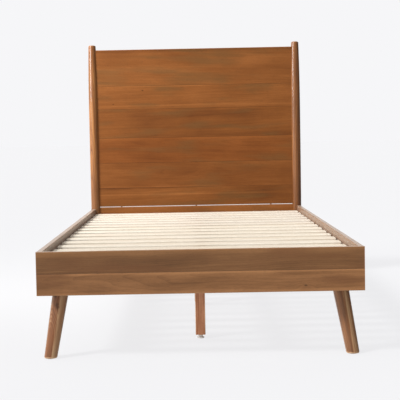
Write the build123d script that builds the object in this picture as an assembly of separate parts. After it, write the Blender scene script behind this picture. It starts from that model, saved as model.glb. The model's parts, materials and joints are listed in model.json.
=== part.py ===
from build123d import *
import os

# A single (twin) platform bed in solid wood: a headboard of edge-glued boards held between two
# turned posts, a footboard and two side rails, splayed front legs, a slatted deck on ledgers and
# a centre beam, and two adjustable feet under the beam's legs.
# Millimetres. +X is to the right seen from the foot, +Y runs to the headboard, +Z is up.
# The origin lies on the floor under the middle of the bed.

# ---------------------------------------------------------------- driving dimensions
OVERALL_WIDTH = 1040.0      # over the side rails
OVERALL_LENGTH = 1992.0
POST_HEIGHT = 1165.0

RAIL_THICKNESS = 18.0
RAIL_BOTTOM = 212.5
RAIL_TOP = 352.5
EDGE_RADIUS = 2.0           # eased outer edges of rails, footboard and headboard
SEAM_RADIUS = 0.5           # eased edges where two boards are glued together

POST_RADIUS = 23.0          # at its fullest, a little above the mattress
POST_FOOT_RADIUS = 19.0
POST_RAIL_RADIUS = 22.3     # where the side rails meet it
POST_TOP_RADIUS = 18.3
POST_DOME = 8.0             # height of the rounded end
POST_OUTSET = 5.5           # how far the posts stand out past the side rails

PANEL_THICKNESS = 20.0
PANEL_TOP = 1140.0
PANEL_GAP = 3.2             # open slot between the panel and the lower rail
LOWER_RAIL_TOP = 359.5
PANEL_SEAMS = (455.5, 579.5, 703.5, 846.5, 960.5)
GROOVE_DEPTH = 10.5         # how far the boards enter the posts
GROOVE_CLEARANCE = 0.1

SLAT_COUNT = 14
SLAT_PITCH = 134.8
SLAT_WIDTH = 70.0
SLAT_THICKNESS = 18.0
SLAT_TOP = 330.5
SLAT_END_GAP = 6.5
FIRST_SLAT = 107.5          # footboard's inner face to the middle of the first slat
SLAT_EDGE_RADIUS = 1.5

LEDGER_WIDTH = 22.0
LEDGER_HEIGHT = 32.0
LEDGER_END = 22.0           # clear of the post, so that the barrel nuts can be reached

BEAM_WIDTH = 40.0
BEAM_HEIGHT = 65.0
HANGER_STEEL = 2.0

LEG_TOP_X = 454.0           # middle of the front leg where it meets its block
LEG_FOOT_X = 489.0
LEG_TOP_Y = 97.0            # behind the footboard's front face
LEG_FOOT_Y = 63.0
LEG_TOP_RADIUS = 26.2
LEG_FOOT_RADIUS = 21.0
BLOCK_SIZE = (84.0, 112.0, 45.0)
BLOCK_RECESS = 5.0          # underside above the bottom edge of the rails

CENTRE_LEG_SIDE = 34.5
CENTRE_LEG_PLACES = (366.0, 1110.0)     # behind the footboard's front face
CENTRE_LEG_GAP = 13.5       # wood to floor, filled by the adjustable foot

GLIDE_RADIUS = 12.0
GLIDE_STANDOFF = 1.5

LEVELLER_FLANGE = (13.0, 4.5)           # radius and height of the part on the floor
LEVELLER_HUB = (8.5, 11.5)              # radius and height of its narrower top
LEVELLER_STEM_RADIUS = 4.0
LEVELLER_STEM_TOP = 38.0
THREAD_CLEARANCE = 0.05     # between a screw thread's stand-in cylinder and its hole

# ---------------------------------------------------------------- places worked out from them
HALF_WIDTH = OVERALL_WIDTH / 2
RAIL_INNER = HALF_WIDTH - RAIL_THICKNESS
FOOT_Y = -OVERALL_LENGTH / 2
FOOT_INNER_Y = FOOT_Y + RAIL_THICKNESS
POST_X = HALF_WIDTH + POST_OUTSET - POST_RADIUS
POST_Y = OVERALL_LENGTH / 2 - POST_RADIUS
PANEL_FRONT_Y = POST_Y - PANEL_THICKNESS / 2
PANEL_BACK_Y = POST_Y + PANEL_THICKNESS / 2
PANEL_BOTTOM = LOWER_RAIL_TOP + PANEL_GAP
GROOVE_X = POST_X - GROOVE_DEPTH
RAIL_END_Y = POST_Y - 4.0
SEAM_Z = (RAIL_BOTTOM + RAIL_TOP) / 2
SLAT_BOTTOM = SLAT_TOP - SLAT_THICKNESS
SLAT_END_X = RAIL_INNER - SLAT_END_GAP
BLOCK_BOTTOM = RAIL_BOTTOM + BLOCK_RECESS
BEAM_BOTTOM = SLAT_BOTTOM - BEAM_HEIGHT
LEDGER_END_Y = POST_Y - POST_RADIUS - LEDGER_END
SIDES = {"left": -1, "right": 1}

# ---------------------------------------------------------------- fasteners and small fittings
SPACER_PLACES = (-373.0, 0.0, 373.0)
SPACER_RADIUS = 3.5
SPACER_BITE = 12.0

RAIL_BOLT_HEIGHTS = (RAIL_BOTTOM + 25.0, RAIL_BOTTOM + 85.0)
RAIL_BOLT_SEAT_Y = POST_Y + 8.0
RAIL_BOLT_HEAD = (6.0, 5.0)             # radius and height
RAIL_BOLT_COUNTERBORE = 7.0
BARREL_NUT_Y = RAIL_END_Y - 32.0
BARREL_NUT_RADIUS = 5.0
BARREL_NUT_LENGTH = 14.0
BARREL_NUT_RECESS = 0.5
BOLT_PAST_NUT = 6.0

BOLT_RADIUS = 3.0
BOLT_HOLE_CLEARANCE = 0.5
BOLT_HEAD = (5.0, 3.5)
BLOCK_SCREW_RADIUS = 2.5
BLOCK_SCREW_HEAD = (4.5, 3.0)
BLOCK_SCREW_PLACES = (436.0, 486.0)     # x of the wood screws into the footboard
BLOCK_SCREW_Z = BLOCK_BOTTOM + 13.0
BLOCK_SCREW_SEAT = 38.0                 # wood left under the screw's head
BLOCK_BOLT_PLACES = (FOOT_INNER_Y + 26.0, FOOT_INNER_Y + 97.0)
BLOCK_BOLT_Z = BLOCK_BOTTOM + 32.0
BLOCK_BOLT_SEAT = 40.0
BLOCK_COUNTERBORE = 5.5
BLOCK_CORNER_CUT = 30.0
INSERT_RADIUS = 5.0
INSERT_LENGTH = 12.0

LEG_BOLT_RADIUS = 4.0
LEG_BOLT_BITE = 35.0
LEG_INSERT_RADIUS = 6.0
LEG_INSERT_LENGTH = 15.0
LEG_RIM_RADIUS = 4.0                    # rounded lower rim of a front leg

GLIDE_PIN_RADIUS = 4.0
GLIDE_PIN_LENGTH = 10.0

SCREW_RADIUS = 2.0
SCREW_BITE = 12.0                       # into the rails, footboard and lower rail
SLAT_SCREW_LENGTH = 30.0
SLAT_SCREW_INSET = 8.5                  # from the slat's end

HANGER_SCREW_X = 34.0
HANGER_SCREW_HEIGHTS = (BEAM_BOTTOM + 10.0, BEAM_BOTTOM + 50.0)
HANGER_SCREW_HEAD = (4.2, 2.6)
HANGER_PLATE_HEIGHT = 62.0
HANGER_SEAT_DEPTH = 30.0
HANGER_CHEEK_HEIGHT = 46.0
HANGER_HALF_WIDTH = 45.0
HANGER_FIT = 0.2

STEM_WELL_CLEARANCE = 0.5
STEM_WELL_DEPTH = 12.0                  # above the stem's end, for its travel
STEM_LOW = 2.0                          # the stem's lower end, inside the pad
THREAD_CHAMFER = 0.8

BASE_ALIGN = (Align.CENTER, Align.CENTER, Align.MIN)


# ---------------------------------------------------------------- shared shapes
def block(x, y, z):
    """A box between two values on each axis."""
    size = [high - low for low, high in (x, y, z)]
    middle = [(high + low) / 2 for low, high in (x, y, z)]
    return Pos(*middle) * Box(*size)


def mirrored(low, high, side):
    """The pair of x values on the bed's left (-1) or right (+1)."""
    return tuple(sorted((low * side, high * side)))


def rod(start, end, radius):
    """A round bar between two points."""
    line = Vector(*end) - Vector(*start)
    plane = Plane(origin=start, z_dir=line)
    return plane * Cylinder(radius, line.length, align=BASE_ALIGN)


def group(pieces):
    """Separate solids that share one node."""
    return Compound(children=[piece.solid() for piece in pieces])


def eased_board(x, y, z, along, low_radius, high_radius):
    """A board whose long edges are eased, with one radius below and one above."""
    board = block(x, y, z)
    for height, radius in ((z[0], low_radius), (z[1], high_radius)):
        edges = board.edges().filter_by(along).filter_by_position(Axis.Z, height - 0.01, height + 0.01)
        board = fillet(edges, radius)
    return board


def glued_boards(x, y, heights, along):
    """Boards standing on each other, parted at the heights between the first and the last."""
    boards = []
    spans = list(zip(heights[:-1], heights[1:]))
    for index, span in enumerate(spans):
        low_radius = EDGE_RADIUS if index == 0 else SEAM_RADIUS
        high_radius = EDGE_RADIUS if index == len(spans) - 1 else SEAM_RADIUS
        boards.append(eased_board(x, y, span, along, low_radius, high_radius))
    return boards


def countersunk_screw(tip, head, radius):
    """A wood screw: a plain shank and a flush conical head at the head point."""
    plane = Plane(origin=head, z_dir=Vector(*tip) - Vector(*head))
    cone = plane * Cone(radius * 1.9, radius, radius, align=BASE_ALIGN)
    return cone + rod(head, tip, radius)


def pan_screw(tip, seat, radius, head_radius, head_height):
    """A screw or bolt with a round head that sits on the seat point, with a hexagon socket."""
    outward = (Vector(*seat) - Vector(*tip)).normalized()
    top = Vector(*seat) + outward * head_height
    head = rod(seat, tuple(top), head_radius)
    rim = head.edges().filter_by(GeomType.CIRCLE).sort_by_distance(top)[0]
    head = fillet(rim, head_height * 0.3)
    socket = Plane(origin=tuple(top), z_dir=-outward) * extrude(
        RegularPolygon(head_radius * 0.5, 6), head_height * 0.6)
    return head + rod(seat, tip, radius) - socket


# ---------------------------------------------------------------- headboard
def post_outline():
    """Half of a turned post's profile: fullest above the mattress, tapering both ways."""
    top = POST_HEIGHT - POST_DOME
    flat = POST_TOP_RADIUS * 0.45
    side = Spline([
        (POST_FOOT_RADIUS, GLIDE_STANDOFF),
        (POST_RAIL_RADIUS, (RAIL_BOTTOM + RAIL_TOP) / 2),
        (POST_RADIUS, POST_HEIGHT * 0.62),
        (POST_RADIUS - 0.9, POST_HEIGHT * 0.83),
        (POST_TOP_RADIUS, top),
    ])
    shoulder = Spline([(POST_TOP_RADIUS, top), (flat, POST_HEIGHT)],
                      tangents=[side % 1, (-1, 0)])
    rest = Polyline((flat, POST_HEIGHT), (0, POST_HEIGHT), (0, GLIDE_STANDOFF),
                    (POST_FOOT_RADIUS, GLIDE_STANDOFF))
    return make_face([side, shoulder, rest])


def headboard_post(side):
    """A post, grooved for the boards, rebated for the side rail and bored for its bolts."""
    profile = Plane.XZ * post_outline()
    post = Pos(POST_X * side, POST_Y, 0) * revolve(profile, Axis.Z)
    half = PANEL_THICKNESS / 2 + GROOVE_CLEARANCE
    groove = block(mirrored(0, GROOVE_X + GROOVE_CLEARANCE, side), (POST_Y - half, POST_Y + half),
                   (RAIL_BOTTOM, PANEL_TOP))
    rebate = block(mirrored(RAIL_INNER, OVERALL_WIDTH, side), (POST_Y - POST_RADIUS * 2, RAIL_END_Y),
                   (RAIL_BOTTOM, RAIL_TOP))
    post = post - groove - rebate
    for place in rail_bolt_places(side):
        post = post - rail_bolt_hole(place)
    return post - glide_hole((POST_X * side, POST_Y))


def headboard_panel():
    """The panel's boards, lowest first, reaching into the grooves."""
    heights = (PANEL_BOTTOM, *PANEL_SEAMS, PANEL_TOP)
    boards = glued_boards((-GROOVE_X, GROOVE_X), (PANEL_FRONT_Y, PANEL_BACK_Y), heights, Axis.X)
    for dowel in spacer_dowel_shapes(THREAD_CLEARANCE):
        boards[0] = boards[0] - dowel
    return boards


def headboard_lower_rail():
    """The rail under the panel, with the spacer dowels' and the beam hanger's holes."""
    rail = eased_board((-GROOVE_X, GROOVE_X), (PANEL_FRONT_Y, PANEL_BACK_Y),
                       (RAIL_BOTTOM, LOWER_RAIL_TOP), Axis.X, EDGE_RADIUS, EDGE_RADIUS)
    for dowel in spacer_dowel_shapes(THREAD_CLEARANCE):
        rail = rail - dowel
    for place in hanger_screw_places():
        rail = rail - hanger_screw_hole(place, PANEL_FRONT_Y, 1)
    return rail


def spacer_dowel_shapes(clearance=0.0):
    """Short dowels that hold the panel clear of the rail below it."""
    low = LOWER_RAIL_TOP - SPACER_BITE
    high = PANEL_BOTTOM + SPACER_BITE
    return [rod((x, POST_Y, low), (x, POST_Y, high), SPACER_RADIUS + clearance)
            for x in SPACER_PLACES]


# ---------------------------------------------------------------- side rails and footboard
def rail_bolt_places(side):
    """X and Z of the two bolts that hold a side rail to its post."""
    middle = (HALF_WIDTH - RAIL_THICKNESS / 2) * side
    return [(middle, z) for z in RAIL_BOLT_HEIGHTS]


def rail_bolt_hole(place):
    """The bore through post and rail end, with a counterbore in the post's back."""
    x, z = place
    end = BARREL_NUT_Y - BOLT_PAST_NUT - 2
    bore = rod((x, end, z), (x, RAIL_BOLT_SEAT_Y, z), BOLT_RADIUS + BOLT_HOLE_CLEARANCE)
    back = POST_Y + 2 * POST_RADIUS
    return bore + rod((x, RAIL_BOLT_SEAT_Y, z), (x, back, z), RAIL_BOLT_COUNTERBORE)


def rail_bolt(place):
    """The bolt from the post's back into the side rail's cross nut."""
    x, z = place
    tip = (x, BARREL_NUT_Y - BOLT_PAST_NUT, z)
    return pan_screw(tip, (x, RAIL_BOLT_SEAT_Y, z), BOLT_RADIUS, *RAIL_BOLT_HEAD)


def barrel_nut_hole(place, side):
    x, z = place
    start = (RAIL_INNER * side, BARREL_NUT_Y, z)
    end = ((RAIL_INNER + BARREL_NUT_LENGTH + GROOVE_CLEARANCE) * side, BARREL_NUT_Y, z)
    return rod(start, end, BARREL_NUT_RADIUS + GROOVE_CLEARANCE)


def barrel_nut(place, side):
    """A round cross nut let into the rail's inner face, bored for its bolt."""
    x, z = place
    start = ((RAIL_INNER + BARREL_NUT_RECESS) * side, BARREL_NUT_Y, z)
    end = ((RAIL_INNER + BARREL_NUT_LENGTH) * side, BARREL_NUT_Y, z)
    reach = 2 * BARREL_NUT_RADIUS
    thread = rod((x, BARREL_NUT_Y - reach, z), (x, BARREL_NUT_Y + reach, z), BOLT_RADIUS + THREAD_CLEARANCE)
    return rod(start, end, BARREL_NUT_RADIUS) - thread


def side_rail(side):
    """The lower and upper board of a side rail, from the footboard into the post's rebate."""
    heights = (RAIL_BOTTOM, SEAM_Z, RAIL_TOP)
    boards = glued_boards(mirrored(RAIL_INNER, HALF_WIDTH, side), (FOOT_INNER_Y, RAIL_END_Y),
                          heights, Axis.Y)
    cutters = [rail_bolt_hole(place) for place in rail_bolt_places(side)]
    cutters += [barrel_nut_hole(place, side) for place in rail_bolt_places(side)]
    cutters += [rail_insert(y, side, THREAD_CLEARANCE) for y in BLOCK_BOLT_PLACES]
    cutters += [ledger_screw(y, side, THREAD_CLEARANCE) for y in ledger_screw_places()]
    for cutter in cutters:
        boards = [board - cutter for board in boards]
    return boards


def footboard():
    """The lower and upper board across the foot, covering the ends of the side rails."""
    heights = (RAIL_BOTTOM, SEAM_Z, RAIL_TOP)
    boards = glued_boards((-HALF_WIDTH, HALF_WIDTH), (FOOT_Y, FOOT_INNER_Y), heights, Axis.X)
    cutters = [hanger_screw_hole(place, FOOT_INNER_Y, -1) for place in hanger_screw_places()]
    cutters += [block_screw(x * side, THREAD_CLEARANCE)
                for side in SIDES.values() for x in BLOCK_SCREW_PLACES]
    for cutter in cutters:
        boards = [board - cutter for board in boards]
    return boards


# ---------------------------------------------------------------- front corners and legs
def corner_block(side):
    """The block in a front corner that joins footboard, side rail and leg."""
    width, depth, height = BLOCK_SIZE
    body = block(mirrored(RAIL_INNER - width, RAIL_INNER, side),
                 (FOOT_INNER_Y, FOOT_INNER_Y + depth), (BLOCK_BOTTOM, BLOCK_BOTTOM + height))
    uprights = body.edges().filter_by(Axis.Z)
    free_corner = uprights.sort_by_distance((0, 0, BLOCK_BOTTOM))[0]
    body = chamfer(free_corner, BLOCK_CORNER_CUT)
    for x in (place * side for place in BLOCK_SCREW_PLACES):
        seat = (x, FOOT_INNER_Y + BLOCK_SCREW_SEAT, BLOCK_SCREW_Z)
        mouth = (x, FOOT_INNER_Y + depth + 1, BLOCK_SCREW_Z)
        body = body - block_screw(x, THREAD_CLEARANCE) - rod(seat, mouth, BLOCK_COUNTERBORE)
    for y in BLOCK_BOLT_PLACES:
        seat = ((RAIL_INNER - BLOCK_BOLT_SEAT) * side, y, BLOCK_BOLT_Z)
        mouth = ((RAIL_INNER - width - 1) * side, y, BLOCK_BOLT_Z)
        body = body - block_bolt(y, side, THREAD_CLEARANCE) - rod(seat, mouth, BLOCK_COUNTERBORE)
    return body - leg_insert(side, THREAD_CLEARANCE) - leg_bolt(side, THREAD_CLEARANCE)


def block_screw(x, clearance=0.0):
    """A wood screw from the block's back into the footboard."""
    seat = (x, FOOT_INNER_Y + BLOCK_SCREW_SEAT, BLOCK_SCREW_Z)
    tip = (x, FOOT_INNER_Y - SCREW_BITE - clearance, BLOCK_SCREW_Z)
    if clearance:
        return rod(tip, seat, BLOCK_SCREW_RADIUS + clearance)
    return pan_screw(tip, seat, BLOCK_SCREW_RADIUS, *BLOCK_SCREW_HEAD)


def block_bolt(y, side, clearance=0.0):
    """A bolt through the block into the side rail's threaded insert."""
    seat = ((RAIL_INNER - BLOCK_BOLT_SEAT) * side, y, BLOCK_BOLT_Z)
    tip = ((RAIL_INNER + INSERT_LENGTH - 1.0) * side, y, BLOCK_BOLT_Z)
    if clearance:
        return rod(tip, seat, BOLT_RADIUS + clearance)
    return pan_screw(tip, seat, BOLT_RADIUS, *BOLT_HEAD)


def rail_insert(y, side, clearance=0.0):
    """A threaded insert in the side rail; with a clearance, the hole for it."""
    face = (RAIL_INNER * side, y, BLOCK_BOLT_Z)
    end = ((RAIL_INNER + INSERT_LENGTH + clearance) * side, y, BLOCK_BOLT_Z)
    shell = rod(face, end, INSERT_RADIUS + clearance)
    if clearance:
        return shell
    return shell - rod(face, end, BOLT_RADIUS + THREAD_CLEARANCE)


def front_leg(side):
    """A round tapered leg, splayed outwards and forwards, cut level at block and floor."""
    top = Vector(LEG_TOP_X * side, FOOT_Y + LEG_TOP_Y, BLOCK_BOTTOM)
    foot = Vector(LEG_FOOT_X * side, FOOT_Y + LEG_FOOT_Y, GLIDE_STANDOFF)
    axis = (top - foot).normalized()
    spare = LEG_FOOT_RADIUS
    taper = (LEG_TOP_RADIUS - LEG_FOOT_RADIUS) / (top - foot).length
    low_radius = LEG_FOOT_RADIUS - taper * spare
    high_radius = LEG_TOP_RADIUS + taper * spare
    length = (top - foot).length + 2 * spare
    plane = Plane(origin=foot - axis * spare, z_dir=axis)
    cone = plane * Cone(low_radius, high_radius, length, align=BASE_ALIGN)
    slab = block((-OVERALL_WIDTH, OVERALL_WIDTH), (-OVERALL_LENGTH, OVERALL_LENGTH),
                 (GLIDE_STANDOFF, BLOCK_BOTTOM))
    leg = cone & slab
    rim = leg.faces().sort_by(Axis.Z)[0].edges()
    leg = fillet(rim, LEG_RIM_RADIUS)
    return leg - glide_hole((foot.X, foot.Y)) - leg_bolt(side, THREAD_CLEARANCE)


def leg_bolt(side, clearance=0.0):
    """A hanger bolt standing in the leg's top and reaching into the block."""
    x = LEG_TOP_X * side
    y = FOOT_Y + LEG_TOP_Y
    bite = LEG_BOLT_BITE + clearance
    return rod((x, y, BLOCK_BOTTOM - bite), (x, y, BLOCK_BOTTOM + bite), LEG_BOLT_RADIUS + clearance)


def leg_insert(side, clearance=0.0):
    """The threaded insert that the hanger bolt turns into."""
    x = LEG_TOP_X * side
    y = FOOT_Y + LEG_TOP_Y
    top = BLOCK_BOTTOM + LEG_INSERT_LENGTH + clearance
    shell = rod((x, y, BLOCK_BOTTOM), (x, y, top), LEG_INSERT_RADIUS + clearance)
    if clearance:
        return shell
    return shell - rod((x, y, BLOCK_BOTTOM), (x, y, top), LEG_BOLT_RADIUS + THREAD_CLEARANCE)


def glide_places():
    """The feet that stand on the floor: both front legs and both posts."""
    front = [(LEG_FOOT_X * side, FOOT_Y + LEG_FOOT_Y) for side in SIDES.values()]
    return front + [(POST_X * side, POST_Y) for side in SIDES.values()]


def glide(place):
    """A thin pad under a leg with a pin that holds it."""
    pad = rod((*place, 0), (*place, GLIDE_STANDOFF), GLIDE_RADIUS)
    return pad + rod((*place, 0), (*place, GLIDE_STANDOFF + GLIDE_PIN_LENGTH), GLIDE_PIN_RADIUS)


def glide_hole(place):
    """The hole for a glide's pin."""
    top = GLIDE_STANDOFF + GLIDE_PIN_LENGTH + THREAD_CLEARANCE
    return rod((*place, 0), (*place, top), GLIDE_PIN_RADIUS + THREAD_CLEARANCE)


# ---------------------------------------------------------------- slats and ledgers
def slat_middle(index):
    return FOOT_INNER_Y + FIRST_SLAT + SLAT_PITCH * index


def slat(index):
    """One slat of the deck, with its two screw holes."""
    y = slat_middle(index)
    half = SLAT_WIDTH / 2
    board = eased_board((-SLAT_END_X, SLAT_END_X), (y - half, y + half), (SLAT_BOTTOM, SLAT_TOP),
                        Axis.X, SLAT_EDGE_RADIUS, SLAT_EDGE_RADIUS)
    for side in SIDES.values():
        board = board - slat_screw(index, side, THREAD_CLEARANCE)
    return board


def slat_screw(index, side, clearance=0.0):
    x = (SLAT_END_X - SLAT_SCREW_INSET) * side
    y = slat_middle(index)
    tip = SLAT_TOP - SLAT_SCREW_LENGTH - clearance
    return countersunk_screw((x, y, tip), (x, y, SLAT_TOP), SCREW_RADIUS + clearance)


def ledger(side):
    """The strip along the inside of a side rail that the slats lie on."""
    strip = eased_board(mirrored(RAIL_INNER - LEDGER_WIDTH, RAIL_INNER, side),
                        (FOOT_INNER_Y, LEDGER_END_Y), (SLAT_BOTTOM - LEDGER_HEIGHT, SLAT_BOTTOM),
                        Axis.Y, SLAT_EDGE_RADIUS, SLAT_EDGE_RADIUS)
    for index in range(SLAT_COUNT):
        strip = strip - slat_screw(index, side, THREAD_CLEARANCE)
    for y in ledger_screw_places():
        strip = strip - ledger_screw(y, side, THREAD_CLEARANCE)
    return strip


def ledger_screw_places():
    """Midway between every other pair of slats, so that they miss the slat screws."""
    return [slat_middle(index + 0.5) for index in range(0, SLAT_COUNT, 2)]


def ledger_screw(y, side, clearance=0.0):
    z = SLAT_BOTTOM - LEDGER_HEIGHT / 2
    head = (RAIL_INNER - LEDGER_WIDTH) * side
    tip = (RAIL_INNER + SCREW_BITE + clearance) * side
    return countersunk_screw((tip, y, z), (head, y, z), SCREW_RADIUS + clearance)


# ---------------------------------------------------------------- centre beam and its legs
def centre_beam():
    """The beam under the middle of the slats, bored for its legs' bolts."""
    half = BEAM_WIDTH / 2
    beam = eased_board((-half, half), (FOOT_INNER_Y + HANGER_STEEL, PANEL_FRONT_Y - HANGER_STEEL),
                       (BEAM_BOTTOM, SLAT_BOTTOM), Axis.Y, SLAT_EDGE_RADIUS, SLAT_EDGE_RADIUS)
    for place in CENTRE_LEG_PLACES:
        beam = beam - centre_leg_bolt(place, THREAD_CLEARANCE)
    return beam


def beam_hanger(face_y, inward):
    """A folded steel hanger: a back plate and a seat with two cheeks around the beam's end."""
    inner = BEAM_WIDTH / 2 + HANGER_FIT
    outer = inner + HANGER_STEEL
    plate_y = tuple(sorted((face_y, face_y + HANGER_STEEL * inward)))
    seat_y = tuple(sorted((face_y, face_y + (HANGER_STEEL + HANGER_SEAT_DEPTH) * inward)))
    low = BEAM_BOTTOM - HANGER_STEEL
    hanger = block((-HANGER_HALF_WIDTH, HANGER_HALF_WIDTH), plate_y, (low, low + HANGER_PLATE_HEIGHT))
    hanger = hanger + block((-outer, outer), seat_y, (low, BEAM_BOTTOM))
    for side in SIDES.values():
        hanger = hanger + block(mirrored(inner, outer, side), seat_y, (low, low + HANGER_CHEEK_HEIGHT))
    for place in hanger_screw_places():
        hanger = hanger - hanger_screw_hole(place, face_y, -inward)
    return hanger


def hanger_screw_places():
    return [(HANGER_SCREW_X * side, z) for side in SIDES.values() for z in HANGER_SCREW_HEIGHTS]


def hanger_screw_hole(place, face_y, into):
    """The hole for a hanger screw, through the plate and into the wood behind it."""
    x, z = place
    start = face_y - (HANGER_STEEL + 1) * into
    end = face_y + (SCREW_BITE + THREAD_CLEARANCE) * into
    return rod((x, start, z), (x, end, z), SCREW_RADIUS + THREAD_CLEARANCE)


def hanger_screw(place, face_y, into):
    x, z = place
    seat = face_y - HANGER_STEEL * into
    tip = face_y + SCREW_BITE * into
    return pan_screw((x, tip, z), (x, seat, z), SCREW_RADIUS, *HANGER_SCREW_HEAD)


def centre_leg(place):
    """A square leg under the beam, bored for its bolt above and its adjustable foot below."""
    half = CENTRE_LEG_SIDE / 2
    y = FOOT_Y + place
    leg = block((-half, half), (y - half, y + half), (CENTRE_LEG_GAP, BEAM_BOTTOM))
    leg = fillet(leg.edges().filter_by(Axis.Z), EDGE_RADIUS)
    leg = fillet(leg.faces().sort_by(Axis.Z)[0].edges(), EDGE_RADIUS)
    well_top = LEVELLER_STEM_TOP + STEM_WELL_DEPTH
    leg = leg - rod((0, y, 0), (0, y, well_top), LEVELLER_STEM_RADIUS + STEM_WELL_CLEARANCE)
    return leg - leveller_insert(place, THREAD_CLEARANCE) - centre_leg_bolt(place, THREAD_CLEARANCE)


def centre_leg_bolt(place, clearance=0.0):
    y = FOOT_Y + place
    bite = LEG_BOLT_BITE + clearance
    return rod((0, y, BEAM_BOTTOM - bite), (0, y, BEAM_BOTTOM + bite), LEG_BOLT_RADIUS + clearance)


def leveller_insert(place, clearance=0.0):
    """The threaded sleeve in the leg's end that the adjustable foot turns in."""
    y = FOOT_Y + place
    top = CENTRE_LEG_GAP + LEG_INSERT_LENGTH + clearance
    shell = rod((0, y, CENTRE_LEG_GAP), (0, y, top), LEG_INSERT_RADIUS + clearance)
    if clearance:
        return shell
    return shell - rod((0, y, CENTRE_LEG_GAP), (0, y, top), LEVELLER_STEM_RADIUS + THREAD_CLEARANCE)


def leveller_pad(place):
    """The adjustable foot's moulded pad: a flange that narrows to a hub around the stem."""
    y = FOOT_Y + place
    flange_radius, flange_height = LEVELLER_FLANGE
    hub_radius, hub_height = LEVELLER_HUB
    flange = rod((0, y, 0), (0, y, flange_height), flange_radius)
    flange = chamfer(flange.edges().filter_by(GeomType.CIRCLE), THREAD_CHAMFER)
    hub = Pos(0, y, flange_height) * Cone(
        flange_radius - 2 * THREAD_CHAMFER, hub_radius, hub_height - flange_height, align=BASE_ALIGN)
    pad = flange + hub
    rim = pad.edges().filter_by(GeomType.CIRCLE).sort_by(Axis.Z)[-1]
    pad = fillet(rim, THREAD_CHAMFER)
    return pad - rod((0, y, STEM_LOW), (0, y, hub_height), LEVELLER_STEM_RADIUS)


def leveller_stem(place):
    """The adjustable foot's threaded stem, as a plain cylinder of the thread's outer diameter."""
    y = FOOT_Y + place
    stem = rod((0, y, STEM_LOW), (0, y, LEVELLER_STEM_TOP), LEVELLER_STEM_RADIUS)
    return chamfer(stem.edges().filter_by(GeomType.CIRCLE).sort_by(Axis.Z)[-1], THREAD_CHAMFER)


# ---------------------------------------------------------------- the nodes
def board_nodes():
    nodes = {}
    for number, board in enumerate(headboard_panel(), start=1):
        nodes[f"headboard_board_{number}"] = board
    nodes["headboard_lower_rail"] = headboard_lower_rail()
    nodes["footboard_lower"], nodes["footboard_upper"] = footboard()
    for name, side in SIDES.items():
        lower, upper = side_rail(side)
        nodes[f"side_rail_{name}_lower"] = lower
        nodes[f"side_rail_{name}_upper"] = upper
        nodes[f"headboard_post_{name}"] = headboard_post(side)
        nodes[f"slat_ledger_{name}"] = ledger(side)
        nodes[f"corner_block_{name}"] = corner_block(side)
        nodes[f"front_leg_{name}"] = front_leg(side)
    for index in range(SLAT_COUNT):
        nodes[f"slat_{index + 1:02d}"] = slat(index)
    return nodes


def centre_nodes():
    nodes = {
        "centre_beam": centre_beam(),
        "beam_hanger_foot": beam_hanger(FOOT_INNER_Y, 1),
        "beam_hanger_head": beam_hanger(PANEL_FRONT_Y, -1),
    }
    for name, place in zip(("front", "rear"), CENTRE_LEG_PLACES):
        nodes[f"centre_leg_{name}"] = centre_leg(place)
        nodes[f"leveller_pad_{name}"] = leveller_pad(place)
        nodes[f"leveller_stem_{name}"] = leveller_stem(place)
    return nodes


def fastener_nodes():
    sides = list(SIDES.values())
    bolts = [(place, side) for side in sides for place in rail_bolt_places(side)]
    nuts = [barrel_nut(place, side) for place, side in bolts]
    hanger_screws = [hanger_screw(place, FOOT_INNER_Y, -1) for place in hanger_screw_places()]
    hanger_screws += [hanger_screw(place, PANEL_FRONT_Y, 1) for place in hanger_screw_places()]
    return {
        "spacer_dowels": group(spacer_dowel_shapes()),
        "rail_bolts": group([rail_bolt(place) for place, side in bolts]),
        "barrel_nuts": group(nuts),
        "corner_block_screws": group([block_screw(x * side) for side in sides for x in BLOCK_SCREW_PLACES]),
        "corner_block_bolts": group([block_bolt(y, side) for side in sides for y in BLOCK_BOLT_PLACES]),
        "rail_inserts": group([rail_insert(y, side) for side in sides for y in BLOCK_BOLT_PLACES]),
        "leg_bolts": group([leg_bolt(side) for side in sides]),
        "leg_inserts": group([leg_insert(side) for side in sides]),
        "ledger_screws": group([ledger_screw(y, side) for side in sides for y in ledger_screw_places()]),
        "slat_screws": group([slat_screw(index, side) for side in sides for index in range(SLAT_COUNT)]),
        "hanger_screws": group(hanger_screws),
        "centre_leg_bolts": group([centre_leg_bolt(place) for place in CENTRE_LEG_PLACES]),
        "leveller_inserts": group([leveller_insert(place) for place in CENTRE_LEG_PLACES]),
        "foot_glides": group([glide(place) for place in glide_places()]),
    }


os.makedirs("parts", exist_ok=True)
for node_name, shape in {**board_nodes(), **centre_nodes(), **fastener_nodes()}.items():
    shape.label = node_name
    export_step(shape, f"parts/{node_name}.step")
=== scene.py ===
import json
import math
import random

import bmesh
import bpy
from mathutils import Matrix, Vector


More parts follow.
